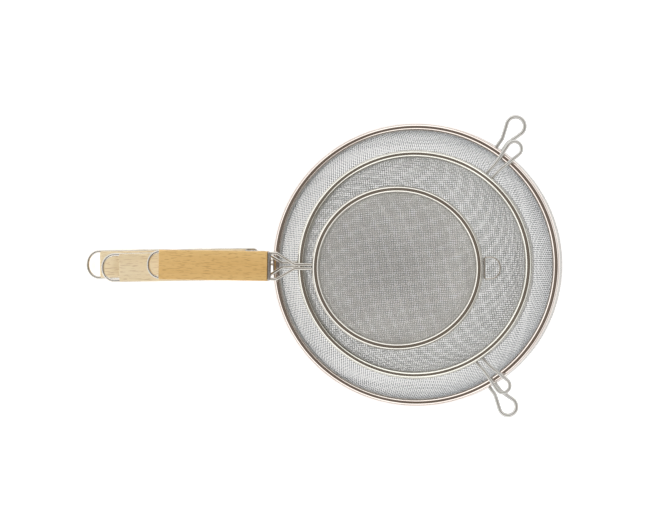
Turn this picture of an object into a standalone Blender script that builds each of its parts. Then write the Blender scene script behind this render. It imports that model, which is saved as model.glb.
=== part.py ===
"""Set of three nesting fine-mesh strainers with wire-framed beech handles.

Metres, +Z up. +X runs from the handles to the far side of the rims. The large strainer
stands on the bottom of its bowl and on the end of its hanging loop. The medium one rests
in it on two ears and on its grip, and the small one rests in the medium one.
The base of the set's bounding box is centred on the origin.
"""

import math
from dataclasses import dataclass

import bmesh
import bpy
from mathutils import Vector


@dataclass(frozen=True)
class Strainer:
    """Driving sizes of one strainer, in its own frame: origin at the rim's centre, rim up."""

    name: str
    rim_length: float  # along the handle, between the middles of the rolled edge
    rim_width: float  # across the handle
    skirt_height: float
    bowl_depth: float  # from the middle of the rolled edge to the underside of the mesh
    mesh_thickness: float
    wire_diameter: float  # the bent handle frame
    frame_width: float  # over the outsides of the frame's two long wires
    grip_width: float
    meet_reach: float  # from the rim's wall to where the frame's wires come together
    shoulder_reach: float  # from the rim's wall to where they leave the grip's width
    grip_reach: float  # from the rim's wall to the grip's inner end
    grip_length: float
    loop_reach: float  # from the grip's outer end to the outside of the hanging loop
    handle_yaw: float  # how far the handle is welded out of line, in degrees
    handle_shift: float
    nest_shift: tuple  # where its centre lies in the strainer that holds it, along X and Y
    wood: tuple  # colour of its grip

    @property
    def wall(self):
        """From the rim's centre to the outside of the skirt, along the handle."""
        return self.rim_length / 2 + BEAD_RADIUS - SKIRT_STEP

    @property
    def wires_meet(self):
        return self.wall + self.meet_reach

    @property
    def shoulder(self):
        return self.wall + self.shoulder_reach

    @property
    def grip_near(self):
        return self.wall + self.grip_reach

    @property
    def grip_far(self):
        return self.grip_near + self.grip_length

    @property
    def loop_end(self):
        return self.grip_far + self.loop_reach


@dataclass(frozen=True)
class Ear:
    """A teardrop of wire, welded to the rim, that rests on the rim of a pot or bowl."""

    name: str
    angle: float  # where it leaves the rim, in degrees from +X
    lean: float  # how far it leans off the radial line, in degrees
    length: float
    loop_width: float
    leg_spacing: float
    wire_diameter: float


MEDIUM_ROOM = (0.0196, 0.0194)  # between the large and the medium rim, along and across
SMALL_ROOM = (0.0241, 0.0225)  # between the medium and the small rim

LARGE = Strainer(
    name="large",
    rim_length=0.2042,
    rim_width=0.1954,
    skirt_height=0.0105,
    bowl_depth=0.069,
    mesh_thickness=0.0008,
    wire_diameter=0.0023,
    frame_width=0.0214,
    grip_width=0.0192,
    meet_reach=0.0065,
    shoulder_reach=0.0152,
    grip_reach=0.0208,
    grip_length=0.1093,
    loop_reach=0.0121,
    handle_yaw=0.8,
    handle_shift=0.0033,
    nest_shift=(0.0, 0.0),
    wood=(0.78, 0.62, 0.40),
)
MEDIUM = Strainer(
    name="medium",
    rim_length=LARGE.rim_length - 2 * MEDIUM_ROOM[0],
    rim_width=LARGE.rim_width - 2 * MEDIUM_ROOM[1],
    skirt_height=0.0095,
    bowl_depth=0.055,
    mesh_thickness=0.0008,
    wire_diameter=0.0022,
    frame_width=0.0210,
    grip_width=0.0200,
    meet_reach=0.0123,
    shoulder_reach=0.0254,
    grip_reach=0.0312,
    grip_length=0.1013,
    loop_reach=0.0150,
    handle_yaw=1.0,
    handle_shift=0.0014,
    nest_shift=(0.0016, 0.0002),
    wood=(0.80, 0.64, 0.42),
)
SMALL = Strainer(
    name="small",
    rim_length=MEDIUM.rim_length - 2 * SMALL_ROOM[0],
    rim_width=MEDIUM.rim_width - 2 * SMALL_ROOM[1],
    skirt_height=0.0085,
    bowl_depth=0.052,
    mesh_thickness=0.0008,
    wire_diameter=0.0021,
    frame_width=0.0206,
    grip_width=0.0212,
    meet_reach=0.0132,
    shoulder_reach=0.0261,
    grip_reach=0.0321,
    grip_length=0.0783,
    loop_reach=0.0095,
    handle_yaw=-0.8,
    handle_shift=0.0,
    nest_shift=(-0.0122, -0.0025),
    wood=(0.74, 0.48, 0.19),
)

LARGE_EARS = (
    Ear("ear_left", 54.8, 0.0, 0.0280, 0.0160, 0.0052, 0.0028),
    Ear("ear_right", -58.2, 4.0, 0.0266, 0.0153, 0.0049, 0.0028),
)
MEDIUM_EARS = (
    Ear("ear_left", 51.0, -3.5, 0.0325, 0.0128, 0.0052, 0.0025),
    Ear("ear_right", -57.0, 9.5, 0.0308, 0.0126, 0.0052, 0.0025),
)

REST_RING_WIDTH = 0.0153  # between the middles of its wires
REST_RING_REACH = 0.0128  # how far it stands out of the small rim
REST_RING_WIRE = 0.0014

BEAD_RADIUS = 0.0027  # outside of the rolled top edge of every rim band
BAND_THICKNESS = 0.0005
SKIRT_STEP = 0.0004  # how far the skirt stands in from the outside of the rolled edge
ROLL_DROP = 0.0012  # from the middle of the rolled edge to the top of the skirt
LIP_DROP = 0.0045  # the band's inner lip, below the middle of the rolled edge
HOOP_DIAMETER = 2 * (BEAD_RADIUS - BAND_THICKNESS) - 0.0022  # fills the roll beside the mesh
HOOP_DROP = 0.0008
MESH_EDGE_DROP = 0.0003
BOWL_FULLNESS = 1.6  # 2 is an ellipse, and less is a steeper, more pointed bowl

GRIP_THICKNESS = 0.0115
GRIP_CORNER = 0.0015
PLATE_THICKNESS = 0.0008
PLATE_INSET = 0.0003
FRAME_DROP = 0.0042  # the middle of the frame's wires, below the middle of the rolled edge
EAR_DROP = 0.0042
PAIR_GAP = 0.0008  # between the two wires where they run side by side to the rim
SHOULDER_BEND = 0.004
MEET_BEND = 0.004
LOOP_ROUNDNESS = 0.94  # 1 is a half circle
EAR_STRAIGHT = 0.26  # share of an ear's length where its legs run side by side
EAR_BEND = 0.008

GAP = 0.0003  # between pieces that touch
NEST_GAP = 0.0005  # between a bowl and the bowl that it rests in

RING_SEGMENTS = 48
BOWL_STEPS = 6
HOOP_SIDES = 6
ARC_STEP = math.radians(18)

STEEL = (0.72, 0.71, 0.69)
MESH_STEEL = (0.55, 0.55, 0.56)


def new_material(name, colour, metallic, roughness):
    material = bpy.data.materials.new(name)
    material.use_nodes = True
    shader = material.node_tree.nodes["Principled BSDF"]
    shader.inputs["Base Color"].default_value = (*colour, 1.0)
    shader.inputs["Metallic"].default_value = metallic
    shader.inputs["Roughness"].default_value = roughness
    material.diffuse_color = (*colour, 1.0)
    return material


def add_object(name, data, parent, material):
    obj = bpy.data.objects.new(name, data)
    data.materials.append(material)
    obj.parent = parent
    bpy.context.scene.collection.objects.link(obj)
    return obj


def add_empty(name, parent):
    empty = bpy.data.objects.new(name, None)
    empty.parent = parent
    bpy.context.scene.collection.objects.link(empty)
    return empty


def add_mesh(name, bm, parent, material, smooth_below=None):
    """The bmesh as an object, with its faces turned outwards."""
    bmesh.ops.recalc_face_normals(bm, faces=bm.faces)
    mesh = bpy.data.meshes.new(name)
    bm.to_mesh(mesh)
    bm.free()
    if smooth_below:
        mesh.shade_smooth()
        mesh.set_sharp_from_angle(angle=smooth_below)
    return add_object(name, mesh, parent, material)


def add_wire(name, points, diameter, parent, material, closed=False):
    """A round wire along the points, with flat ends."""
    curve = bpy.data.curves.new(name, "CURVE")
    curve.dimensions = "3D"
    curve.bevel_depth = diameter / 2
    curve.bevel_resolution = 2
    curve.use_fill_caps = not closed
    spline = curve.splines.new("POLY")
    spline.points.add(len(points) - 1)
    for place, point in zip(spline.points, points):
        place.co = (*point, 1.0)
    spline.use_cyclic_u = closed
    return add_object(name, curve, parent, material)


def bend_points(before, corner, after, radius):
    """Points of the arc that rounds a corner between two straight runs."""
    back = (before - corner).normalized()
    onward = (after - corner).normalized()
    half_angle = back.angle(onward) / 2
    reach = radius / math.tan(half_angle)
    centre = corner + (back + onward).normalized() * radius / math.sin(half_angle)
    start = (corner + back * reach - centre).normalized()
    end = (corner + onward * reach - centre).normalized()
    steps = max(2, math.ceil((math.pi - 2 * half_angle) / ARC_STEP))
    return [centre + start.slerp(end, i / steps) * radius for i in range(steps + 1)]


def bent_path(corners, radii):
    """An open path through the corners, with every inner corner rounded."""
    path = [corners[0]]
    for before, corner, after, radius in zip(corners, corners[1:], corners[2:], radii):
        path += bend_points(before, corner, after, radius)
    return path + [corners[-1]]


def closed_path(corners, radii):
    """A closed path through the corners, with every corner rounded."""
    path = []
    for i, radius in enumerate(radii):
        after = corners[(i + 1) % len(corners)]
        path += bend_points(corners[i - 1], corners[i], after, radius)
    return path


# Rim, hoop and mesh: everything that goes round the oval


def half_sizes(strainer, offset=0.0):
    """Half length and half width of the oval that lies this far outside the rolled edge's middle."""
    return strainer.rim_length / 2 + offset, strainer.rim_width / 2 + offset


def skirt_offset():
    return BEAD_RADIUS - SKIRT_STEP


def mesh_inner_offset():
    return -(BEAD_RADIUS - BAND_THICKNESS) + GAP


def mesh_outer_offset(strainer):
    return mesh_inner_offset() + strainer.mesh_thickness


def bowl_drop(strainer, share, depth):
    """How far the bowl lies below the rolled edge's middle at this share of its radius."""
    curve = max(0.0, 1.0 - share**2) ** (1 / BOWL_FULLNESS)
    return LIP_DROP + (depth - LIP_DROP) * curve


def bowl_rings(strainer, offset, depth):
    """One face of the bowl from the rim to its bottom: (half length, half width, z)."""
    half_length, half_width = half_sizes(strainer, offset)
    rings = []
    for step in range(BOWL_STEPS + 1):
        share = math.cos(step / BOWL_STEPS * math.pi / 2) if step < BOWL_STEPS else 0.0
        drop = bowl_drop(strainer, share, depth)
        rings.append((half_length * share, half_width * share, -drop))
    return rings


def outer_bowl(strainer):
    return bowl_rings(strainer, mesh_outer_offset(strainer), strainer.bowl_depth)


def inner_bowl(strainer):
    depth = strainer.bowl_depth - strainer.mesh_thickness
    return bowl_rings(strainer, mesh_inner_offset(), depth)


def join_loops(bm, first, second):
    """Faces between two loops of vertices, either of which may be a single point."""
    for i in range(RING_SEGMENTS):
        j = (i + 1) % RING_SEGMENTS
        if len(first) > 1 and len(second) > 1:
            bm.faces.new((first[i], first[j], second[j], second[i]))
        elif len(first) > 1:
            bm.faces.new((first[i], first[j], second[0]))
        elif len(second) > 1:
            bm.faces.new((first[0], second[j], second[i]))


def add_rings(name, rings, parent, material, smooth_below):
    """A closed body through oval rings, the last of which joins the first.

    The middle of a flat side, not a corner, lies on the middle plane, so a bowl stands steady.
    """
    bm = bmesh.new()
    loops = []
    for half_length, half_width, z in rings:
        turns = range(RING_SEGMENTS) if half_length > 0 else range(1)
        angles = [(turn + 0.5) / RING_SEGMENTS * math.tau for turn in turns]
        loops.append(
            [bm.verts.new((half_length * math.cos(a), half_width * math.sin(a), z)) for a in angles]
        )
    for first, second in zip(loops, loops[1:] + loops[:1]):
        join_loops(bm, first, second)
    return add_mesh(name, bm, parent, material, smooth_below)


def add_section(name, strainer, section, parent, material, smooth_below):
    """A ring whose cross-section is a loop of (offset from the rolled edge's middle, z)."""
    rings = [(*half_sizes(strainer, offset), z) for offset, z in section]
    return add_rings(name, rings, parent, material, smooth_below)


def add_rim_band(strainer, parent, material):
    """The band that is rolled over the edge of the mesh: bead, inner lip and outer skirt."""
    inside = BEAD_RADIUS - BAND_THICKNESS
    skirt = skirt_offset()
    skirt_inside = skirt - BAND_THICKNESS
    bead = [math.radians(45 * step) for step in range(5)]
    section = [(skirt, -strainer.skirt_height), (skirt, -ROLL_DROP)]
    section += [(BEAD_RADIUS * math.cos(a), BEAD_RADIUS * math.sin(a)) for a in bead]
    section += [(-BEAD_RADIUS, -LIP_DROP), (-inside, -LIP_DROP)]
    section += [(inside * math.cos(a), inside * math.sin(a)) for a in bead[::-2]]
    section += [(skirt_inside, -ROLL_DROP), (skirt_inside, -strainer.skirt_height)]
    name = f"{strainer.name}_rim_band"
    add_section(name, strainer, section, parent, material, math.radians(50))


def add_rim_hoop(strainer, parent, material):
    """The round wire inside the band, which the mesh's edge is pressed against."""
    radius = HOOP_DIAMETER / 2
    middle = mesh_outer_offset(strainer) + GAP + radius
    section = []
    for side in range(HOOP_SIDES):
        angle = side / HOOP_SIDES * math.tau
        section.append((middle + radius * math.cos(angle), radius * math.sin(angle) - HOOP_DROP))
    name = f"{strainer.name}_rim_hoop"
    add_section(name, strainer, section, parent, material, math.radians(70))


def add_mesh_bowl(strainer, parent, material):
    """The woven bowl, as a shell of its true thickness, with its edge upright in the band."""
    outer_edge = (*half_sizes(strainer, mesh_outer_offset(strainer)), -MESH_EDGE_DROP)
    inner_edge = (*half_sizes(strainer, mesh_inner_offset()), -MESH_EDGE_DROP)
    rings = [outer_edge] + outer_bowl(strainer) + inner_bowl(strainer)[::-1] + [inner_edge]
    add_rings(f"{strainer.name}_mesh_bowl", rings, parent, material, math.radians(40))


def wall_distance(strainer, start, heading, wire_radius):
    """How far a wire on this line runs from its start to the gap outside the skirt."""
    half_length, half_width = half_sizes(strainer, skirt_offset())
    across = Vector((-heading.y, heading.x)) * wire_radius
    distances = []
    for edge in (start - across, start + across):
        a = (heading.x / half_length) ** 2 + (heading.y / half_width) ** 2
        b = edge.x * heading.x / half_length**2 + edge.y * heading.y / half_width**2
        c = (edge.x / half_length) ** 2 + (edge.y / half_width) ** 2 - 1
        distances.append((math.sqrt(b * b - a * c) - b) / a)
    return max(distances) + GAP


# Handle: frame wire, wooden grip and end plate, along -X of the handle's own empty


def frame_half_spread(strainer):
    """Half the distance between the middles of the frame's wires, in the grip's grooves."""
    return (strainer.frame_width - strainer.wire_diameter) / 2


def handle_wall(strainer, y):
    """Where a frame wire at this y of the handle's frame ends at the rim, along -X."""
    yaw = math.radians(strainer.handle_yaw)
    heading = Vector((-math.cos(yaw), -math.sin(yaw)))
    start = Vector((-y * math.sin(yaw), strainer.handle_shift + y * math.cos(yaw)))
    return wall_distance(strainer, start, heading, strainer.wire_diameter / 2)


def add_handle_frame(strainer, parent, material):
    """One wire: rim, shoulder, along the grip, round the hanging loop and back."""
    pair = (strainer.wire_diameter + PAIR_GAP) / 2
    spread = frame_half_spread(strainer)
    end = strainer.loop_end - strainer.wire_diameter / 2
    half = [(handle_wall(strainer, pair), pair), (strainer.wires_meet, pair)]
    half += [(strainer.shoulder, spread), (end, spread)]
    corners = [Vector((-x, y, 0)) for x, y in half]
    corners[0].x = -handle_wall(strainer, pair)
    corners += [Vector((-x, -y, 0)) for x, y in half[::-1]]
    corners[-1].x = -handle_wall(strainer, -pair)
    loop = spread * LOOP_ROUNDNESS
    radii = [MEET_BEND, SHOULDER_BEND, loop, loop, SHOULDER_BEND, MEET_BEND]
    name = f"{strainer.name}_handle_frame"
    add_wire(name, bent_path(corners, radii), strainer.wire_diameter, parent, material)


def grip_section(strainer, inset):
    """Outline of the grip across its length: rounded corners and a groove for each wire."""
    half_width = strainer.grip_width / 2 - inset
    half_height = GRIP_THICKNESS / 2 - inset
    groove_half = strainer.wire_diameter / 2 + GAP
    groove_floor = strainer.frame_width / 2 - strainer.wire_diameter - GAP
    side = []
    for step in range(3):
        angle = math.radians(45 * step)
        y = half_width - GRIP_CORNER + GRIP_CORNER * math.cos(angle)
        z = half_height - GRIP_CORNER + GRIP_CORNER * math.sin(angle)
        side.append((y, z))
    groove = [(groove_floor, groove_half), (half_width, groove_half)]
    quarter = groove + side
    lower = [(y, -z) for y, z in quarter[::-1]]
    right = lower + quarter
    return right + [(-y, z) for y, z in right[::-1]]


def add_extrusion(name, section, near, far, parent, material):
    """A prism of the (y, z) outline from x = -near to x = -far."""
    bm = bmesh.new()
    ends = [[bm.verts.new((-x, y, z)) for y, z in section] for x in (near, far)]
    for end in ends:
        bm.faces.new(end)
    for i in range(len(section)):
        bm.faces.new((ends[0][i - 1], ends[0][i], ends[1][i], ends[1][i - 1]))
    return add_mesh(name, bm, parent, material, math.radians(50))


def add_grip(strainer, parent, material):
    name = f"{strainer.name}_grip"
    section = grip_section(strainer, 0.0)
    add_extrusion(name, section, strainer.grip_near, strainer.grip_far, parent, material)


def add_end_plate(strainer, parent, material):
    """The thin plate between the wires that stops the grip at its inner end."""
    far = strainer.grip_near - GAP
    section = grip_section(strainer, PLATE_INSET)
    add_extrusion(
        f"{strainer.name}_end_plate", section, far - PLATE_THICKNESS, far, parent, material
    )


# Rests on the far side


def ear_outline(ear):
    """Half of a teardrop, from the end of a straight leg to the far end of the loop."""
    radius = (ear.loop_width - ear.wire_diameter) / 2
    centre = Vector((ear.length - ear.loop_width / 2, 0))
    knee = Vector((ear.length * EAR_STRAIGHT, ear.leg_spacing / 2))
    to_centre = centre - knee
    heading = math.atan2(to_centre.y, to_centre.x) + math.asin(radius / to_centre.length)
    run = math.sqrt(to_centre.length_squared - radius**2)
    touch = knee + Vector((math.cos(heading), math.sin(heading))) * run
    first = math.atan2(touch.y, touch.x - centre.x)
    steps = math.ceil(first / ARC_STEP)
    arc = []
    for step in range(steps):
        angle = first * (1 - step / steps)
        arc.append(Vector((centre.x + radius * math.cos(angle), radius * math.sin(angle), 0)))
    return Vector((*knee, 0)), arc, Vector((centre.x + radius, 0, 0))


def add_ear(strainer, ear, parent, material):
    """A teardrop wire whose legs end at the skirt."""
    half_length, half_width = half_sizes(strainer, skirt_offset())
    turn = math.radians(ear.angle)
    root = Vector((half_length * math.cos(turn), half_width * math.sin(turn)))
    bearing = math.atan2(root.y, root.x) + math.radians(ear.lean)
    heading = Vector((math.cos(bearing), math.sin(bearing)))
    across = Vector((-heading.y, heading.x))
    legs = []
    for side in (1, -1):
        start = across * side * ear.leg_spacing / 2 + root - heading * root.length / 2
        reach = wall_distance(strainer, start, heading, ear.wire_diameter / 2)
        legs.append(Vector((reach - root.length / 2, side * ear.leg_spacing / 2, 0)))
    knee, arc, tip = ear_outline(ear)
    upper = bent_path([legs[0], knee, arc[0]], [EAR_BEND])[:-1] + arc
    flip = [Vector((point.x, -point.y, 0)) for point in upper[:0:-1]]
    points = upper + [tip] + flip + [legs[1]]
    name = f"{strainer.name}_{ear.name}"
    obj = add_wire(name, points, ear.wire_diameter, parent, material)
    obj.location = (*root, -EAR_DROP)
    obj.rotation_euler = (0, 0, bearing)


def add_rest_ring(strainer, parent, material):
    """A closed wire ring with its straight side on the skirt, opposite the handle."""
    half_length, _ = half_sizes(strainer, skirt_offset())
    near = half_length + GAP + REST_RING_WIRE / 2
    far = half_length + REST_RING_REACH - REST_RING_WIRE / 2
    side = REST_RING_WIDTH / 2
    corners = [Vector((x, y, 0)) for x, y in ((near, -side), (far, -side), (far, side), (near, side))]
    radii = [REST_RING_WIRE, side * 0.9, side * 0.9, REST_RING_WIRE]
    path = closed_path(corners, radii)
    name = f"{strainer.name}_rest_ring"
    obj = add_wire(name, path, REST_RING_WIRE, parent, material, closed=True)
    obj.location = (0, 0, -EAR_DROP)


# How the strainers stand and nest


def height(x, z, tilt):
    """Height of a point of a strainer's middle plane when its far side is raised by tilt."""
    return x * math.sin(tilt) + z * math.cos(tilt)


def standing_tilt(strainer):
    """Tilt at which the bowl's bottom is as low as the grip's outer end or the hanging loop."""
    radius = strainer.wire_diameter / 2
    grip_under = -FRAME_DROP - GRIP_THICKNESS / 2
    low, high = 0.0, math.radians(60)
    for _ in range(60):
        tilt = (low + high) / 2
        loop = height(-strainer.loop_end + radius, -FRAME_DROP, tilt) - radius
        handle = min(loop, height(-strainer.grip_far, grip_under, tilt))
        bowl = min(height(-x, z, tilt) for x, _, z in outer_bowl(strainer))
        low, high = (tilt, high) if handle > bowl else (low, tilt)
    return low


def surface_height(rings, x):
    """Height of a bowl's inner face on its middle plane, along the straight facets."""
    for (outer_x, _, outer_z), (inner_x, _, inner_z) in zip(rings, rings[1:]):
        if abs(x) >= inner_x:
            share = min(1.0, (abs(x) - inner_x) / (outer_x - inner_x))
            return inner_z + (outer_z - inner_z) * share
    return rings[-1][2]


def pitched(point, pitch, origin):
    """A point of the held strainer's middle plane in the frame of the one that holds it."""
    x, z = point
    return (
        origin[0] + x * math.cos(pitch) + z * math.sin(pitch),
        origin[1] - x * math.sin(pitch) + z * math.cos(pitch),
    )


def origin_on_grip(held, holder, pitch):
    """Where the held strainer's centre lies when its grip rests on the holder's inner grip end."""
    support_x = -holder.grip_near
    support_z = -FRAME_DROP + GRIP_THICKNESS / 2 + GAP
    under = -FRAME_DROP - GRIP_THICKNESS / 2
    shift = held.nest_shift[0]
    x = (support_x - shift - under * math.sin(pitch)) / math.cos(pitch)
    return shift, support_z + x * math.sin(pitch) - under * math.cos(pitch)


def ear_clearance(held, holder, ears, pitch, origin):
    """Room between the ears and the holder's rolled edge, which they cross."""
    half_length, _ = half_sizes(holder)
    room = []
    for ear in ears:
        turn = math.radians(ear.angle)
        cross = half_length * math.cos(turn) + abs(math.sin(turn)) * ear.loop_width / 2
        x = (cross - origin[0]) / math.cos(pitch)
        _, z = pitched((x, -EAR_DROP), pitch, origin)
        room.append(z - ear.wire_diameter / 2 - BEAD_RADIUS - GAP)
    return min(room)


def wire_clearance(held, holder, pitch, origin):
    """Room between the frame's wires and the holder's rolled edge, near the handle."""
    half_length, _ = half_sizes(holder)
    x = (-half_length - origin[0]) / math.cos(pitch)
    _, z = pitched((x, -FRAME_DROP), pitch, origin)
    return z - held.wire_diameter / 2 - BEAD_RADIUS - GAP


def bowl_clearance(held, holder, pitch, origin):
    """Room between the held strainer, bowl and skirt, and the holder's mesh."""
    half_length, _ = half_sizes(held, skirt_offset())
    below = [(half_length, -held.skirt_height), (-half_length, -held.skirt_height)]
    for x, _, z in outer_bowl(held):
        below += [(x, z), (-x, z)]
    rings = inner_bowl(holder)
    room = []
    for point in below:
        x, z = pitched(point, pitch, origin)
        room.append(z - surface_height(rings, x) - NEST_GAP)
    return min(room)


def nested_pose(held, holder, ears):
    """Pitch and centre of a strainer that drops, about its grip, until it rests on something."""
    low, high = math.radians(-20), math.radians(30)
    for _ in range(60):
        pitch = (low + high) / 2
        origin = origin_on_grip(held, holder, pitch)
        room = [bowl_clearance(held, holder, pitch, origin), wire_clearance(held, holder, pitch, origin)]
        if ears:
            room.append(ear_clearance(held, holder, ears, pitch, origin))
        low, high = (pitch, high) if min(room) > 0 else (low, pitch)
    return low, origin_on_grip(held, holder, low)


def build_strainer(strainer, parent):
    """One strainer under an empty at its rim's centre, which is returned."""
    centre = add_empty(f"{strainer.name}_strainer", parent)
    handle = add_empty(f"{strainer.name}_handle", centre)
    handle.location = (0, strainer.handle_shift, -FRAME_DROP)
    handle.rotation_euler = (0, 0, math.radians(strainer.handle_yaw))
    band = new_material(f"{strainer.name}_polished_band", STEEL, 1.0, 0.22)
    hoop = new_material(f"{strainer.name}_hoop_wire", STEEL, 1.0, 0.35)
    mesh = new_material(f"{strainer.name}_woven_mesh", MESH_STEEL, 0.9, 0.45)
    frame = new_material(f"{strainer.name}_frame_wire", STEEL, 1.0, 0.25)
    wood = new_material(f"{strainer.name}_beech", strainer.wood, 0.0, 0.55)
    plate = new_material(f"{strainer.name}_plate", STEEL, 1.0, 0.35)
    add_rim_band(strainer, centre, band)
    add_rim_hoop(strainer, centre, hoop)
    add_mesh_bowl(strainer, centre, mesh)
    add_handle_frame(strainer, handle, frame)
    add_grip(strainer, handle, wood)
    add_end_plate(strainer, handle, plate)
    return centre


def add_rests(strainer, centre, ears):
    rest_wire = new_material(f"{strainer.name}_rest_wire", STEEL, 1.0, 0.3)
    for ear in ears:
        add_ear(strainer, ear, centre, rest_wire)
    if not ears:
        add_rest_ring(strainer, centre, rest_wire)


def place_in(held, holder, centre, ears):
    pitch, origin = nested_pose(held, holder, ears)
    centre.location = (origin[0], held.nest_shift[1], origin[1])
    centre.rotation_euler = (0, pitch, 0)


def corners_of_set():
    """Lowest and highest corner of every body, as evaluated."""
    bpy.context.view_layer.update()
    graph = bpy.context.evaluated_depsgraph_get()
    points = []
    for obj in bpy.context.scene.objects:
        if obj.type == "EMPTY":
            continue
        evaluated = obj.evaluated_get(graph)
        mesh = evaluated.to_mesh()
        points += [evaluated.matrix_world @ vertex.co for vertex in mesh.vertices]
        evaluated.to_mesh_clear()
    axes = list(zip(*points))
    return Vector([min(axis) for axis in axes]), Vector([max(axis) for axis in axes])


def build():
    for obj in list(bpy.data.objects):
        bpy.data.objects.remove(obj, do_unlink=True)
    base = add_empty("strainer_set", None)
    large = build_strainer(LARGE, base)
    medium = build_strainer(MEDIUM, large)
    small = build_strainer(SMALL, medium)
    add_rests(LARGE, large, LARGE_EARS)
    add_rests(MEDIUM, medium, MEDIUM_EARS)
    add_rests(SMALL, small, ())
    large.rotation_euler = (0, -standing_tilt(LARGE), 0)
    place_in(MEDIUM, LARGE, medium, MEDIUM_EARS)
    place_in(SMALL, MEDIUM, small, ())
    low, high = corners_of_set()
    base.location = (-(low.x + high.x) / 2, -(low.y + high.y) / 2, -low.z)


build()
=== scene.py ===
import math

import bmesh
import bpy
import numpy as np
from mathutils import Matrix, Vector


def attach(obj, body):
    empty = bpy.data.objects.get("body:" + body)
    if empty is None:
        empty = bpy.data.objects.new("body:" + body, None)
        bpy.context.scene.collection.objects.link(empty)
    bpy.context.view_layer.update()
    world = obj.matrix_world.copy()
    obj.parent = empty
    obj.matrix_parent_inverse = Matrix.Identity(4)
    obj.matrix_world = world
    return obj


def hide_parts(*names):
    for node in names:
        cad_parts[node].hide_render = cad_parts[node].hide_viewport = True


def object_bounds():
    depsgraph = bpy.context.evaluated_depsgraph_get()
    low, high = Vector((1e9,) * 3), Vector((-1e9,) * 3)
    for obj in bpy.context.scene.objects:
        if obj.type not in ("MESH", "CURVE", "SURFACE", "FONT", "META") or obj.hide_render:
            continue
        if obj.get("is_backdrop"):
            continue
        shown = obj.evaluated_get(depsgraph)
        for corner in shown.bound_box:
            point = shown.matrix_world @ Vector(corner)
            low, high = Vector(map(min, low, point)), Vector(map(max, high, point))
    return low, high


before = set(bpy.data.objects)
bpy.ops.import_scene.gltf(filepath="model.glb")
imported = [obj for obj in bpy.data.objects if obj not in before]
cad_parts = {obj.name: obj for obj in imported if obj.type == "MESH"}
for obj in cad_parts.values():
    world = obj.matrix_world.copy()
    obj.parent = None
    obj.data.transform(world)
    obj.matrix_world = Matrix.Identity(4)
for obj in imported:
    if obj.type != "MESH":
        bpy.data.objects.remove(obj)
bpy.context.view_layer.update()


# The whole set stands nested on a table: the large strainer on its bowl and its hanging
# loop, the medium one in it, the small one in that. Each strainer's own axes, along the
# handle, across it and up out of the bowl, come from how its rim's hoop wire lies.

STRAINERS = ("large", "medium", "small")
HOOP_OUT = 0.0014  # outside of the hoop wire, from the middle of the rolled edge
HOOP_LOW = 0.0008  # middle of the hoop wire, below the middle of the rolled edge
HOOP_SIDES = 48  # flat sides that stand for the round hoop, with one square to the handle


def own_points(node):
    """A CAD node's corners, each once."""
    places = [vertex.co[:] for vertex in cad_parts[node].data.vertices]
    return np.unique(np.round(places, 6), axis=0)


def lie_of(node):
    """Matrix from a node's own axes (long, across, up) to the row frame, at its middle."""
    points = own_points(node)
    middle = (points.max(0) + points.min(0)) / 2
    axes = np.linalg.eigh(np.cov((points - points.mean(0)).T))[1]
    along = axes[:, 2] * np.sign(axes[0, 2])
    up = axes[:, 0] * np.sign(axes[2, 0])
    across = np.cross(up, along)
    turn = np.array((along, across, up))
    own = points @ turn.T
    middle = turn.T @ ((own.max(0) + own.min(0)) / 2)
    rows = [[*turn[:, i], middle[i]] for i in range(3)]
    return Matrix(rows + [[0, 0, 0, 1]])


def reach_of(node, lie):
    """Lowest and highest corner of a node in the given axes."""
    turned = np.array(lie.inverted())
    own = own_points(node) @ turned[:3, :3].T + turned[:3, 3]
    return own.min(0), own.max(0)


rim_lie = {}
rim_half = {}
for name in STRAINERS:
    hoop_lie = lie_of(f"{name}_rim_hoop")
    rim_lie[name] = hoop_lie @ Matrix.Translation((0, 0, HOOP_LOW))
    low, high = reach_of(f"{name}_rim_hoop", rim_lie[name])
    to_round = 1 / math.cos(math.pi / HOOP_SIDES)
    rim_half[name] = (high[0] * to_round - HOOP_OUT, high[1] * to_round - HOOP_OUT)


# The view is straight down on the set from three metres. The handles are to the left, and
# the middle of the view is between the bowls and the grips.

CAMERA_UP = 3.0
CAMERA_OFF = (-0.0639, 0.0069)  # along and across the handles, from the middle of the large rim
SENSOR = 36  # millimetres
FRAME_WIDE = 0.461  # what the view takes in, at the height of the large rim
camera = bpy.data.objects.new("camera", bpy.data.cameras.new("camera"))
bpy.context.scene.collection.objects.link(camera)
camera.location = rim_lie["large"].translation + Vector((*CAMERA_OFF, CAMERA_UP))
camera.data.sensor_width = SENSOR
camera.data.lens = SENSOR * CAMERA_UP / FRAME_WIDE
camera.data.clip_end = 50
bpy.context.scene.camera = camera
bpy.context.scene.view_settings.view_transform = "Standard"


# Studio: a white table under a wide tent of light. The tent is dark brown straight overhead,
# where the camera looks in, bright all round that and dark just above the table. It is
# dimmer on the far side of the rims. The camera itself sees a plain pale backdrop.

TENT = (  # share of the way from straight down to straight up, and colour
    (0.000, (0.60, 0.60, 0.60)),
    (0.490, (0.45, 0.45, 0.45)),
    (0.505, (0.10, 0.10, 0.10)),
    (0.575, (0.13, 0.13, 0.13)),
    (0.635, (0.95, 0.95, 0.95)),
    (0.836, (1.00, 0.99, 0.96)),
    (0.866, (0.09, 0.074, 0.062)),
    (1.000, (0.13, 0.110, 0.094)),
)
TENT_POWER = 1.75
FAR_SIDE = 0.70  # of the tent's light, on the side of the rims away from the handles
FAR_FROM, FAR_FULL = 0.15, 0.75  # share of the way out to that side, where it starts and is full
BACKDROP = (0.92, 0.92, 0.92, 1)

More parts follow.
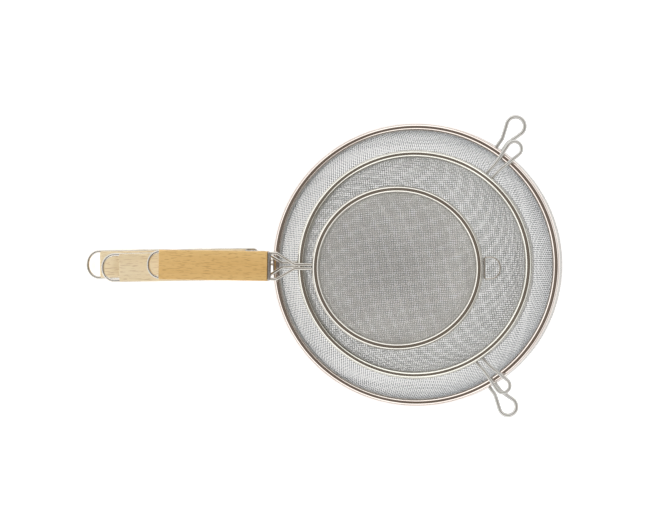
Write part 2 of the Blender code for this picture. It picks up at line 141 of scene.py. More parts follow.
world = bpy.data.worlds.new("light tent")
bpy.context.scene.world = world
world.use_nodes = True
nodes = world.node_tree.nodes
links = world.node_tree.links
facing = nodes.new("ShaderNodeTexCoord")
split = nodes.new("ShaderNodeSeparateXYZ")
rise = nodes.new("ShaderNodeMapRange")
rise.inputs["From Min"].default_value = -1
ramp = nodes.new("ShaderNodeValToRGB")
ramp.color_ramp.interpolation = "EASE"
stops = ramp.color_ramp.elements
for step, (place, colour) in enumerate(TENT):
    if step in (0, len(TENT) - 1):
        stop = stops[0 if step == 0 else -1]
    else:
        stop = stops.new(place)
    stop.position = place
    stop.color = (*colour, 1)
dimming = nodes.new("ShaderNodeMapRange")
dimming.interpolation_type = "SMOOTHSTEP"
dimming.inputs["From Min"].default_value = FAR_FROM
dimming.inputs["From Max"].default_value = FAR_FULL
dimming.inputs["To Min"].default_value = 1
dimming.inputs["To Max"].default_value = FAR_SIDE
dimmed = nodes.new("ShaderNodeVectorMath")
dimmed.operation = "SCALE"
background = nodes["Background"]
background.inputs["Strength"].default_value = TENT_POWER
backdrop = nodes.new("ShaderNodeBackground")
backdrop.inputs["Color"].default_value = BACKDROP
ray = nodes.new("ShaderNodeLightPath")
either = nodes.new("ShaderNodeMixShader")
for output, place in (
    (facing.outputs["Generated"], split.inputs[0]),
    (split.outputs["Z"], rise.inputs["Value"]),
    (rise.outputs["Result"], ramp.inputs["Fac"]),
    (split.outputs["X"], dimming.inputs["Value"]),
    (ramp.outputs["Color"], dimmed.inputs[0]),
    (dimming.outputs["Result"], dimmed.inputs["Scale"]),
    (dimmed.outputs[0], background.inputs["Color"]),
    (ray.outputs["Is Camera Ray"], either.inputs[0]),
    (background.outputs[0], either.inputs[1]),
    (backdrop.outputs[0], either.inputs[2]),
    (either.outputs[0], nodes["World Output"].inputs["Surface"]),
):
    links.new(output, place)

TABLE_HALF = 6
TABLE_LOW = 0.0001  # just below the bowl
TABLE_WHITE = 0.86
TABLE_GLOW = 0.58
table = bpy.data.objects.new("table", bpy.data.meshes.new("table"))
signs = ((-1, -1), (1, -1), (1, 1), (-1, 1))
corners = [(x * TABLE_HALF, y * TABLE_HALF, -TABLE_LOW) for x, y in signs]
table.data.from_pydata(corners, [], [(0, 1, 2, 3)])
bpy.context.scene.collection.objects.link(table)
table_white = bpy.data.materials.new("table_white")
table_white.use_nodes = True
shader = table_white.node_tree.nodes["Principled BSDF"]
shader.inputs["Base Color"].default_value = (TABLE_WHITE, TABLE_WHITE, TABLE_WHITE, 1)
shader.inputs["Roughness"].default_value = 0.9
shader.inputs["Specular IOR Level"].default_value = 0.1
shader.inputs["Emission Color"].default_value = (1, 1, 1, 1)
shader.inputs["Emission Strength"].default_value = TABLE_GLOW
table.data.materials.append(table_white)
table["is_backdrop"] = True


# Rolled rims: each a polished stainless strip, rolled lengthwise over the edge of the mesh
# and its hoop wire. On top is a full round bead, a short lip hangs inside the bowl, and a
# taller skirt hangs outside, a little in from the bead.

BEAD = 0.0027  # outside radius of the bead
STRIP = 0.0005  # thickness
SKIRT_IN = 0.0004
SKIRT_TOP = 0.0012  # below the bead's middle, as are the three that follow
LIP_FLAT = 0.0022  # where the lip starts to run straight down
LIP_LOW = 0.0045
SKIRT_LOW = {"large": 0.0105, "medium": 0.0095, "small": 0.0085}
TURN_OUT = ((0, -0.0006), (0.00004, -0.0002), (0.00016, 0.0002))  # from the skirt to the bead
TURN_IN = 0.0003  # below the skirt's top, where the strip's inner face starts to turn
ROUND_STEPS = 288
# painted shade: the skirt's steel is darker than the bead's, for the shaded table under the bowl that it
# reflects
SKIRT_PAINTED_SHADE = (0.43, 0.42, 0.40, 1)
# painted light: the lip's steel is lighter than the bead's, for the light it catches inside the rim
LIP_PAINTED_LIGHT = (0.78, 0.77, 0.74, 1)
SKIRT_DULL = 0.24
BEAD_FROM, BEAD_FULL = -0.0003, 0.0004  # on the map, where the bead begins
LIP_FROM, LIP_FULL = 0.0084, 0.0094  # and where the lip does


def new_material(name):
    """A Principled material, its shader, and a function that adds a node to it. The function's
    keywords name the inputs to set or link, or number them, as in n0."""
    material = bpy.data.materials.new(name)
    material.use_nodes = True
    tree = material.node_tree

    def add(kind, settings=(), **inputs):
        node = tree.nodes.new(kind)
        for key, value in dict(settings).items():
            setattr(node, key, value)
        for key, value in inputs.items():
            numbered = key[0] == "n" and key[1:].isdigit()
            socket = node.inputs[int(key[1:]) if numbered else key.replace("_", " ")]
            if isinstance(value, bpy.types.NodeSocket):
                tree.links.new(value, socket)
            else:
                socket.default_value = value
        return node

    return material, tree.nodes["Principled BSDF"], add


def plug(material, output, place):
    material.node_tree.links.new(output, place)


def two_tones(add, share, dark, light, start, end):
    """A ramp from the dark tone to the light one, as a colour output."""
    tones = add("ShaderNodeValToRGB", Fac=share)
    for stop, place, tone in zip(tones.color_ramp.elements, (start, end), (dark, light)):
        stop.position = place
        stop.color = (*tone, 1)
    return tones.outputs[0]


def stretch(add, share, start, end, low=0.0, high=1.0):
    """The share between start and end, brought to between low and high, as a number output."""
    ends = {"From_Min": start, "From_Max": end, "To_Min": low, "To_Max": high}
    return add("ShaderNodeMapRange", Value=share, **ends).outputs[0]


def surface(material, shader, add, colour, rough, height, strength, lift):
    """Colour, roughness and fine relief, put on the material's shader."""
    bump = add("ShaderNodeBump", Height=height, Strength=strength, Distance=lift)
    plug(material, colour, shader.inputs["Base Color"])
    plug(material, rough, shader.inputs["Roughness"])
    plug(material, bump.outputs[0], shader.inputs["Normal"])
    return material


def band_steel(name, dark, light, dullness):
    """Polished strip: a mirror on the bead with soft waves from the rolling, and a duller skirt and lip:
    the skirt painted darker, a painted shade, and the lip lighter, a painted light.
    The map strip runs along the strip and, from the top of the skirt, across it."""
    material, shader, add = new_material(name)
    shader.inputs["Metallic"].default_value = 1
    place = add("ShaderNodeUVMap", {"uv_map": "strip"})
    across = add("ShaderNodeSeparateXYZ", n0=place.outputs[0])
    along_and_across = place.outputs[0]

    def noise(scale):
        wide = add("ShaderNodeMapping", n0=along_and_across, Scale=scale)
        return add("ShaderNodeTexNoise", Vector=wide.outputs[0], Scale=1.0, Detail=2.0).outputs["Fac"]

    waves = noise((25, 90, 1))
    lines = noise((150, 2500, 1))
    tint = two_tones(add, waves, dark, light, 0.35, 0.65)
    bead = stretch(add, across.outputs["Y"], BEAD_FROM, BEAD_FULL)
    lip = stretch(add, across.outputs["Y"], LIP_FROM, LIP_FULL)
    # below the bead the strip takes the darker skirt steel, a painted shade
    skirt = add("ShaderNodeMix", {"data_type": "RGBA"}, n0=bead, n6=SKIRT_PAINTED_SHADE, n7=tint)
    # past the bead the lip takes the lighter lip steel, a painted light
    colour = add("ShaderNodeMix", {"data_type": "RGBA"}, n0=lip, n6=skirt.outputs[2], n7=LIP_PAINTED_LIGHT)
    round_top = add("ShaderNodeMath", {"operation": "SUBTRACT"}, n0=bead, n1=lip).outputs[0]
    dull = stretch(add, round_top, 0.0, 1.0, SKIRT_DULL, dullness)
    rough = add("ShaderNodeMath", {"operation": "MULTIPLY_ADD"}, n0=lines, n1=0.06, n2=dull)
    looks = (colour.outputs[2], rough.outputs[0], waves)
    return surface(material, shader, add, *looks, strength=0.3, lift=0.0002)


def arc(middle, radius, start, end, steps):
    """Points of an arc between two angles in degrees."""
    turns = [math.radians(start + (end - start) * i / steps) for i in range(steps + 1)]
    return [(middle[0] + radius * math.cos(a), middle[1] + radius * math.sin(a)) for a in turns]


def strip_section(skirt_low):
    """Closed outline of the strip as (out from the rolled edge's middle, up)."""
    inner = BEAD - STRIP
    skirt = BEAD - SKIRT_IN
    edge = STRIP / 2
    mid_skirt = -(skirt_low + SKIRT_TOP) / 2
    section = arc((skirt - edge, -skirt_low + edge), edge, -90, 0, 4)
    section += [(skirt, mid_skirt)]
    section += [(skirt + out, up - SKIRT_TOP) for out, up in TURN_OUT]
    section += arc((0, 0), BEAD, -14, 180, 26)
    section += [(-BEAD, -LIP_FLAT)]
    section += arc((-BEAD + edge, -LIP_LOW + edge), edge, 180, 360, 6)
    section += [(-inner, -LIP_FLAT)]
    section += arc((0, 0), inner, 180, -10, 14)
    section += [(skirt - STRIP, -SKIRT_TOP - TURN_IN), (skirt - STRIP, mid_skirt)]
    section += arc((skirt - edge, -skirt_low + edge), edge, 180, 248, 3)
    return section


def lay_round(piece_name, half, section, lie, uv_name=None, uv_from=0.0):
    """A closed oval ring with that cross-section, as an object at the origin. Its map runs
    round the ring and round the section, both in metres."""
    turns = np.arange(ROUND_STEPS) / ROUND_STEPS * math.tau
    out = np.array(section)
    x = (half[0] + out[:, 0])[None, :] * -np.cos(turns)[:, None]
    y = (half[1] + out[:, 0])[None, :] * -np.sin(turns)[:, None]
    z = np.broadcast_to(out[:, 1][None, :], x.shape)
    points = np.stack((x, y, z), -1).reshape(-1, 3)
    count = len(section)
    faces = []
    for i in range(ROUND_STEPS):
        near, far = i * count, (i + 1) % ROUND_STEPS * count
        for j in range(count):
            k = (j + 1) % count
            faces.append((near + j, far + j, far + k, near + k))
    mesh = bpy.data.meshes.new(piece_name)
    mesh.from_pydata(points.tolist(), [], faces)
    if uv_name:
        lengths = [-uv_from]
        for a, b in zip(section, section[1:] + section[:1]):
            lengths.append(lengths[-1] + math.dist(a, b))
        round_length = math.tau * (half[0] + half[1]) / 2 / ROUND_STEPS
        layer = mesh.uv_layers.new(name=uv_name)
        corners = []
        for i in range(ROUND_STEPS):
            for j in range(count):
                corners += [(i, j), (i + 1, j), (i + 1, j + 1), (i, j + 1)]
        flat = [v for i, j in corners for v in (i * round_length, lengths[j])]
        layer.data.foreach_set("uv", flat)
    mesh.transform(lie)
    return add_piece(piece_name, mesh)


def add_piece(piece_name, mesh, smooth_below=40):
    """The finished mesh as an object at the origin, faces outward."""
    bm = bmesh.new()
    bm.from_mesh(mesh)
    if not bm.loops.layers.uv:
        bmesh.ops.recalc_face_normals(bm, faces=bm.faces)
    elif bm.calc_volume(signed=True) < 0:
        bmesh.ops.reverse_faces(bm, faces=bm.faces)
    bm.to_mesh(mesh)
    bm.free()
    mesh.shade_smooth()
    mesh.set_sharp_from_angle(angle=math.radians(smooth_below))
    piece = bpy.data.objects.new(piece_name, mesh)
    bpy.context.scene.collection.objects.link(piece)
    return piece


BAND_TONES = {  # the large rim has a warm tarnish
    "large": ((0.68, 0.61, 0.57), (0.78, 0.72, 0.68)),
    "medium": ((0.64, 0.63, 0.58), (0.76, 0.75, 0.70)),
    "small": ((0.62, 0.60, 0.56), (0.74, 0.72, 0.67)),
}
BAND_DULL = {"large": 0.05, "medium": 0.13, "small": 0.10}
for name in STRAINERS:
    polished = band_steel(f"{name}_rolled_strip", *BAND_TONES[name], BAND_DULL[name])
    section = strip_section(SKIRT_LOW[name])
    skirt_tall = SKIRT_LOW[name] - SKIRT_TOP
    band = lay_round(f"{name}_rolled_rim", rim_half[name], section, rim_lie[name], "strip", skirt_tall)
    band.data.materials.append(polished)
    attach(band, f"{name}_strainer")
    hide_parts(f"{name}_rim_band")


# Hoops: a round stainless wire inside each rolled rim. It stiffens the rim, and the edge of
# the mesh is pressed against it.

HOOP = 0.0022  # diameter
HOOP_TONES = ((0.60, 0.59, 0.57), (0.70, 0.69, 0.67))


def wire_steel(name, dark, light, rough, grain, lift, bare=1.0):
    """Drawn wire: an uneven polish, and a little unevenness in tone and in its surface. A bare
    share below one leaves some of the dull grey skin from the annealing."""
    material, shader, add = new_material(name)
    shader.inputs["Metallic"].default_value = bare
    place = add("ShaderNodeTexCoord")
    fine = add("ShaderNodeTexNoise", Vector=place.outputs["Object"], Scale=grain, Detail=3.0)
    broad = add("ShaderNodeTexNoise", Vector=place.outputs["Object"], Scale=90.0, Detail=2.0)
    tint = two_tones(add, broad.outputs["Fac"], dark, light, 0.35, 0.65)
    uneven = stretch(add, fine.outputs["Fac"], 0.0, 1.0, *rough)
    looks = (tint, uneven, broad.outputs["Fac"])
    return surface(material, shader, add, *looks, strength=0.3, lift=lift)


hoop_wire = wire_steel("hoop_wire", *HOOP_TONES, rough=(0.25, 0.4), grain=4000.0, lift=0.00002)
for name in STRAINERS:
    section = arc((HOOP_OUT - HOOP / 2, -HOOP_LOW), HOOP / 2, 0, 330, 11)
    hoop = lay_round(f"{name}_hoop", rim_half[name], section, rim_lie[name])
    hoop.data.materials.append(hoop_wire)
    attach(hoop, f"{name}_strainer")
    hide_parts(f"{name}_rim_hoop")


# Bowls: a disc of plain-woven stainless mesh, pressed to a bowl. Warp wires run along the
# handle and weft wires across it, each over and under the next. Near the rim the wall is
# steep and the mesh has sheared, and its edge stands up inside the rolled strip.

SPACING = {"large": 0.00170, "medium": 0.00160, "small": 0.00150}
MESH_WIRE = {"large": 0.00042, "medium": 0.00035, "small": 0.00030}
WEAVE_TURN = {"large": 0, "medium": -9, "small": 42}  # degrees that the disc lay askew in the press
# painted light and shade: one steel wire, toned darker on the large bowl and lighter on the medium and
# small ones, to set how bright each layer of the nested stack comes out
MESH_LIT_AND_SHADED_TONES = {
    "large": ((0.405, 0.422, 0.440), (0.475, 0.492, 0.510)),
    "medium": ((0.62, 0.62, 0.60), (0.69, 0.69, 0.67)),
    "small": ((0.74, 0.72, 0.68), (0.81, 0.79, 0.75)),
}
MESH_IN = 0.0015  # middle of the mesh, in from the middle of the rolled edge
MESH_TALL = 0.0034  # how far the mesh's edge stands up above the lip
FULLNESS = 1.6  # 2 is an ellipse, and less is a steeper, more pointed bowl
WALL = 0.0004  # half the thickness of the woven mesh
WIRE_SIDES = 4
PRESS_STEPS = 2000
PRESS_POINTS = 41


def pressed_out(half, drop):
    """Length of mesh from the bowl's bottom to its edge, and share of the radius along it."""
    share = np.sin(np.linspace(0, math.pi / 2, PRESS_STEPS))
    z = -drop * np.maximum(0, 1 - share**2) ** (1 / FULLNESS)
    length = np.concatenate(([0], np.cumsum(np.hypot(np.diff(share) * half, np.diff(z)))))
    return length[-1], length / length[-1], share


def weave_tree(name, table_of_shares, material):
    """Node tree of one bowl's wires in one direction. A square grid of crossings is pressed to
    the bowl, each crossing is lifted or lowered, and the rows one way become wires."""
    tree = bpy.data.node_groups.new(name, "GeometryNodeTree")
    kinds = {
        "Wire Count": "NodeSocketInt",
        "Wire Spacing": "NodeSocketFloat",
        "Wire Diameter": "NodeSocketFloat",
        "Disc Half Length": "NodeSocketFloat",
        "Disc Half Width": "NodeSocketFloat",
        "Rim Half Length": "NodeSocketFloat",
        "Rim Half Width": "NodeSocketFloat",
        "Lip Drop": "NodeSocketFloat",
        "Bowl Drop": "NodeSocketFloat",
        "Bowl Fullness": "NodeSocketFloat",
        "Edge Height": "NodeSocketFloat",
        "Weave Turn": "NodeSocketFloat",
        "Weft": "NodeSocketBool",
    }
    for label, kind in kinds.items():
        tree.interface.new_socket(label, in_out="INPUT", socket_type=kind)
    tree.interface.new_socket("Geometry", in_out="OUTPUT", socket_type="NodeSocketGeometry")
    given = tree.nodes.new("NodeGroupInput").outputs

    def add(kind, settings=(), *inputs):
        node = tree.nodes.new(kind)
        for key, value in dict(settings).items():
            setattr(node, key, value)
        for place, value in inputs:
            if isinstance(value, bpy.types.NodeSocket):
                tree.links.new(value, node.inputs[place])
            else:
                node.inputs[place].default_value = value
        return node

    def calc(operation, *values):
        return add("ShaderNodeMath", {"operation": operation}, *enumerate(values)).outputs[0]

    width = calc("MULTIPLY", given["Wire Spacing"], calc("SUBTRACT", given["Wire Count"], 1.0))
    grid = add(
        "GeometryNodeMeshGrid", (), ("Size X", width), ("Size Y", width),
        ("Vertices X", given["Wire Count"]), ("Vertices Y", given["Wire Count"]),
    )
    index = add("GeometryNodeInputIndex").outputs[0]
    row = calc("FLOOR", calc("DIVIDE", index, given["Wire Count"]))
    column = calc("SUBTRACT", index, calc("MULTIPLY", row, given["Wire Count"]))
    over = calc("MULTIPLY_ADD", calc("MODULO", calc("ADD", row, column), 2.0), 2.0, -1.0)
    flat = add("GeometryNodeInputPosition").outputs[0]
    askew = add(
        "ShaderNodeVectorRotate", {"rotation_type": "Z_AXIS"},
        (0, flat), ("Angle", given["Weave Turn"]),
    )
    place = add("ShaderNodeSeparateXYZ", (), (0, askew.outputs[0])).outputs
    u = calc("DIVIDE", place[0], given["Disc Half Length"])
    v = calc("DIVIDE", place[1], given["Disc Half Width"])
    outward = calc("SQRT", calc("ADD", calc("MULTIPLY", u, u), calc("MULTIPLY", v, v)))
    keep = tree.nodes.new("GeometryNodeCaptureAttribute")
    keep.capture_items.new("FLOAT", "Outward")
    tree.links.new(grid.outputs["Mesh"], keep.inputs["Geometry"])
    tree.links.new(outward, keep.inputs["Outward"])
    shares = tree.nodes.new("ShaderNodeFloatCurve")
    tree.links.new(calc("MINIMUM", outward, 1.0), shares.inputs["Value"])
    curve = shares.mapping.curves[0]
    for i, (length, share) in enumerate(table_of_shares):
        point = curve.points[i] if i < 2 else curve.points.new(length, share)
        point.location = (length, share)
    for point in curve.points:
        point.handle_type = "VECTOR"
    shares.mapping.update()
    share = shares.outputs[0]
    squeeze = calc("DIVIDE", share, calc("MAXIMUM", outward, 0.0001))
    x = calc("MULTIPLY", given["Rim Half Length"], calc("MULTIPLY", u, squeeze))
    y = calc("MULTIPLY", given["Rim Half Width"], calc("MULTIPLY", v, squeeze))
    hollow = calc("MAXIMUM", 0.0, calc("SUBTRACT", 1.0, calc("MULTIPLY", share, share)))
    fall = calc("POWER", hollow, calc("DIVIDE", 1.0, given["Bowl Fullness"]))
    depth = calc("MULTIPLY_ADD", given["Bowl Drop"], fall, given["Lip Drop"])
    past = calc("MAXIMUM", 0.0, calc("SUBTRACT", outward, 1.0))
    z = calc("SUBTRACT", calc("MULTIPLY", past, given["Disc Half Length"]), depth)
    pressed = add("ShaderNodeCombineXYZ", (), (0, x), (1, y), (2, z)).outputs[0]
    bowl = add(
        "GeometryNodeSetPosition", (),
        ("Geometry", keep.outputs["Geometry"]), ("Position", pressed),
    )
    side = calc("MULTIPLY", over, calc("MULTIPLY", given["Wire Diameter"], 0.5))
    flip = calc("MULTIPLY_ADD", given["Weft"], -2.0, 1.0)
    normal = add("GeometryNodeInputNormal").outputs[0]
    weave = calc("MULTIPLY", side, flip)
    lift = add("ShaderNodeVectorMath", {"operation": "SCALE"}, (0, normal), ("Scale", weave))
    woven = add(
        "GeometryNodeSetPosition", (),
        ("Geometry", bowl.outputs[0]), ("Offset", lift.outputs[0]),
    )
    ends = add("GeometryNodeInputMeshEdgeVertices").outputs
    step = calc("ABSOLUTE", calc("SUBTRACT", ends[0], ends[1]))
    across = calc("LESS_THAN", step, 1.5)
    differ = add("FunctionNodeBooleanMath", {"operation": "XOR"}, (0, across), (1, given["Weft"]))
    one_way = add(
        "GeometryNodeDeleteGeometry", {"domain": "EDGE", "mode": "EDGE_FACE"},
        ("Geometry", woven.outputs[0]), ("Selection", differ.outputs[0]),
    )
    limit = calc("ADD", 1.0, calc("DIVIDE", given["Edge Height"], given["Disc Half Length"]))
    outside = calc("GREATER_THAN", keep.outputs["Outward"], limit)
    trimmed = add(
        "GeometryNodeDeleteGeometry", {"domain": "POINT", "mode": "ALL"},
        ("Geometry", one_way.outputs[0]), ("Selection", outside),
    )
    lines = add("GeometryNodeMeshToCurve", (), ("Mesh", trimmed.outputs[0]))
    radius = calc("MULTIPLY", given["Wire Diameter"], 0.5)
    profile = add("GeometryNodeCurvePrimitiveCircle", (), ("Resolution", WIRE_SIDES), ("Radius", radius))
    wires = add(
        "GeometryNodeCurveToMesh", (), ("Curve", lines.outputs[0]),
        ("Profile Curve", profile.outputs[0]), ("Fill Caps", True),
    )
    smooth = add("GeometryNodeSetShadeSmooth", (), ("Geometry", wires.outputs[0]))
    real = add("GeometryNodeRealizeInstances", (), ("Geometry", smooth.outputs[0]))
    finish = add("GeometryNodeSetMaterial", (), ("Geometry", real.outputs[0]), ("Material", material))
    out = tree.nodes.new("NodeGroupOutput")
    tree.links.new(finish.outputs[0], out.inputs["Geometry"])
    return tree


def plain_mesh(piece_name, carrier):
    """The carrier's final shape as a plain mesh. The carrier itself is removed."""
    bpy.context.scene.collection.objects.link(carrier)
    bpy.context.view_layer.update()
    graph = bpy.context.evaluated_depsgraph_get()
    mesh = bpy.data.meshes.new_from_object(carrier.evaluated_get(graph))
    bpy.data.objects.remove(carrier)
    mesh.name = piece_name
    return mesh


def grown(piece_name, start, tree, sizes):
    """What the tree makes of a mesh as a plain mesh, once its named inputs are set."""
    carrier = bpy.data.objects.new(piece_name, start)
    modifier = carrier.modifiers.new("made", "NODES")
    modifier.node_group = tree
    for item in tree.interface.items_tree:
        if item.item_type == "SOCKET" and item.name in sizes:
            modifier[item.identifier] = sizes[item.name]
    return plain_mesh(piece_name, carrier)


for name in STRAINERS:
    # the bowl's wire tones, with their painted light and shade
    tones = MESH_LIT_AND_SHADED_TONES[name]
    mesh_wire = wire_steel(f"{name}_mesh_wire", *tones, rough=(0.28, 0.42), grain=2500.0, lift=0.00001)
    half = (rim_half[name][0] - MESH_IN, rim_half[name][1] - MESH_IN)
    low, high = reach_of(f"{name}_mesh_bowl", rim_lie[name])
    drop = -low[2] - WALL - LIP_LOW
    disc_long, lengths, shares = pressed_out(half[0], drop)
    disc_wide, _, _ = pressed_out(half[1], drop)
    picks = np.linspace(0, 1, PRESS_POINTS)
    table_of_shares = [(float(p), float(np.interp(p, lengths, shares))) for p in picks]
    count = 2 * math.ceil((disc_long + MESH_TALL) / SPACING[name]) + 1
    tree = weave_tree(f"{name} woven bowl", table_of_shares, mesh_wire)
    sizes = {
        "Wire Count": count,
        "Wire Spacing": SPACING[name],
        "Wire Diameter": MESH_WIRE[name],
        "Disc Half Length": disc_long,
        "Disc Half Width": disc_wide,
        "Rim Half Length": half[0],
        "Rim Half Width": half[1],
        "Lip Drop": LIP_LOW,
        "Bowl Drop": drop,
        "Bowl Fullness": FULLNESS,
        "Edge Height": MESH_TALL,
        "Weave Turn": math.radians(WEAVE_TURN[name]),
    }
    for way, weft in (("warp", False), ("weft", True)):
        empty = bpy.data.meshes.new(f"{name}_{way}_start")
        mesh = grown(f"{name}_mesh_{way}", empty, tree, {**sizes, "Weft": weft})
        mesh.transform(rim_lie[name])
        wires = bpy.data.objects.new(f"{name}_mesh_{way}", mesh)
        bpy.context.scene.collection.objects.link(wires)
        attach(wires, f"{name}_strainer")
        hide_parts(f"{name}_mesh_bowl")


# Handle frames: one stainless wire each. It leaves the rim as a pair side by side, opens out
# at a shoulder to the width of the grip, lies in the grip's side grooves and turns round
# past its outer end as a hanging loop. The pair is spot welded to the skirt.

FRAME_WIRE = {"large": 0.0023, "medium": 0.0022, "small": 0.0021}
MEET = {"large": 0.0065, "medium": 0.0123, "small": 0.0132}  # from the skirt
SHOULDER = {"large": 0.0152, "medium": 0.0254, "small": 0.0261}  # from the skirt
PAIR_GAP = 0.0008
MEET_BEND = 0.004
SHOULDER_BEND = 0.004
LOOP_ROUND = 0.94  # 1 is a half circle
WELD_GAP = 0.0003  # from the wire's end to the skirt
FRAME_TONES = ((0.60, 0.58, 0.54), (0.74, 0.72, 0.68))


def rounded(before, corner, after, radius, step=5):
    """Points of the bend that replaces a corner between two straight runs."""
    back = (before - corner).normalized()
    onward = (after - corner).normalized()
    half_angle = back.angle(onward) / 2
    middle = corner + (back + onward).normalized() * radius / math.sin(half_angle)
    reach = radius / math.tan(half_angle)
    start = (corner + back * reach - middle).normalized()
    end = (corner + onward * reach - middle).normalized()
    steps = max(2, math.ceil(math.degrees(math.pi - 2 * half_angle) / step))
    return [middle + start.slerp(end, i / steps) * radius for i in range(steps + 1)]


def wire_path(corners, radii):
    """Points along a wire that is bent at each corner but the first and the last."""
    path = [corners[0]]
    for before, corner, after, radius in zip(corners, corners[1:], corners[2:], radii):
        path += rounded(before, corner, after, radius)
    return path + [corners[-1]]


def bent_wire(piece_name, points, diameter, lie, closed=False, sides=5):
    """A round wire along the points, as a mesh in the row frame."""
    curve = bpy.data.curves.new(piece_name, "CURVE")
    curve.dimensions = "3D"
    curve.bevel_depth = diameter / 2
    curve.bevel_resolution = sides
    curve.use_fill_caps = not closed
    spline = curve.splines.new("POLY")
    spline.points.add(len(points) - 1)
    for place, point in zip(spline.points, points):
        place.co = (*point, 1)
    spline.use_cyclic_u = closed
    mesh = plain_mesh(piece_name, bpy.data.objects.new(piece_name, curve))
    mesh.transform(lie)
    return add_piece(piece_name, mesh)


bright_wire = wire_steel("bright_frame_wire", *FRAME_TONES, rough=(0.04, 0.09), grain=3000.0, lift=0.0001)
grip_lie = {}
frame_half = {}
for name in STRAINERS:
    grip_lie[name] = lie_of(f"{name}_grip")
    low, high = reach_of(f"{name}_handle_frame", grip_lie[name])
    wire = FRAME_WIRE[name]
    frame_half[name] = high[1]
    pair = (wire + PAIR_GAP) / 2
    spread = high[1] - wire / 2
    skirt = high[0] + WELD_GAP
    end = low[0] + wire / 2
    half = [(skirt, pair), (skirt - MEET[name], pair), (skirt - SHOULDER[name], spread), (end, spread)]
    corners = [Vector((x, y, 0)) for x, y in half] + [Vector((x, -y, 0)) for x, y in half[::-1]]
    loop = spread * LOOP_ROUND
    path = wire_path(corners, [MEET_BEND, SHOULDER_BEND, loop, loop, SHOULDER_BEND, MEET_BEND])
    handle = bent_wire(f"{name}_handle_wire", path, wire, grip_lie[name])
    handle.data.materials.append(bright_wire)
    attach(handle, f"{name}_strainer")
    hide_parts(f"{name}_handle_frame")


# Grips: a beech block each, cut square with rounded long edges and eased ends, and with a
# groove down each side that the frame wires lie in.

GRIP_CORNER = 0.0015
LEAST_CORNER = 0.0004
END_EASE = 0.0006
EASE_STEPS = 3
GROOVE_ROOM = 0.0003  # between the wire and the groove
GRAIN = {  # repeats in a metre along and across the grain, and where the pattern starts
    "streaks": ((14, 420, 420), 0),
    "bands": ((7, 90, 90), 3),
    "flecks": ((170, 1500, 1500), 7),
    "pores": ((300, 6000, 6000), 11),
}
WOODS = {  # name, pale, warm and fleck tones, where the patterns start, strength of the flecks
    "large": ("pale_beech_large", (0.93, 0.80, 0.56), (0.86, 0.69, 0.43), (0.62, 0.43, 0.24), 1.7, 0.7),
    "medium": ("pale_beech_medium", (0.92, 0.79, 0.55), (0.84, 0.68, 0.43), (0.62, 0.44, 0.25), 4.1, 0.7),
    "small": ("oiled_beech", (0.88, 0.60, 0.25), (0.79, 0.50, 0.18), (0.58, 0.32, 0.10), 8.3, 0.75),
}


def groove_of(name, room):
    """Floor and half width of the grooves that a strainer's frame wire lies in."""
    return frame_half[name] - FRAME_WIRE[name] - room, FRAME_WIRE[name] / 2 + GROOVE_ROOM


def grip_outline(half_wide, half_tall, groove_floor, groove_half, inset):
    """Outline across the grip, as (across, up), going round once."""
    wide = half_wide - inset
    tall = half_tall - inset
    corner = max(GRIP_CORNER - inset, LEAST_CORNER)
    top = arc((wide - corner, tall - corner), corner, 0, 90, 6)
    bottom_of_groove = arc((groove_floor + groove_half, 0), groove_half, 180, 90, 5)
    bottom_of_groove = [(min(y, wide), z) for y, z in bottom_of_groove]
    quarter = bottom_of_groove + [(wide, groove_half)] + top
    lower = [(y, -z) for y, z in quarter[:0:-1]]
    right = lower + quarter
    return right + [(-y, z) for y, z in right[::-1]]


def block(piece_name, outlines, places, lie):
    """A block through outlines at those places along the handle, closed at both ends.
    The attribute own_place keeps each point's place in the handle's own axes."""
    points = [(x, y, z) for outline, x in zip(outlines, places) for y, z in outline]
    count = len(outlines[0])
    faces = [tuple(range(count)), tuple(range(len(points) - count, len(points)))[::-1]]
    for ring in range(len(outlines) - 1):
        for i in range(count):
            j = (i + 1) % count
            near, far = ring * count, (ring + 1) * count
            faces.append((near + i, far + i, far + j, near + j))
    mesh = bpy.data.meshes.new(piece_name)
    mesh.from_pydata(points, [], faces)
    own = mesh.attributes.new("own_place", "FLOAT_VECTOR", "POINT")
    own.data.foreach_set("vector", [value for point in points for value in point])
    mesh.transform(lie)
    return add_piece(piece_name, mesh, 35)


def eased_ends(low, high):
    """Places along a block and insets of its outline there, with both ends rounded over."""
    turns = [math.pi / 2 * i / EASE_STEPS for i in range(EASE_STEPS + 1)]
    near = [(low + END_EASE * (1 - math.sin(t)), END_EASE * (1 - math.cos(t))) for t in turns[::-1]]
    far = [(high - END_EASE * (1 - math.sin(t)), END_EASE * (1 - math.cos(t))) for t in turns]
    return near + far


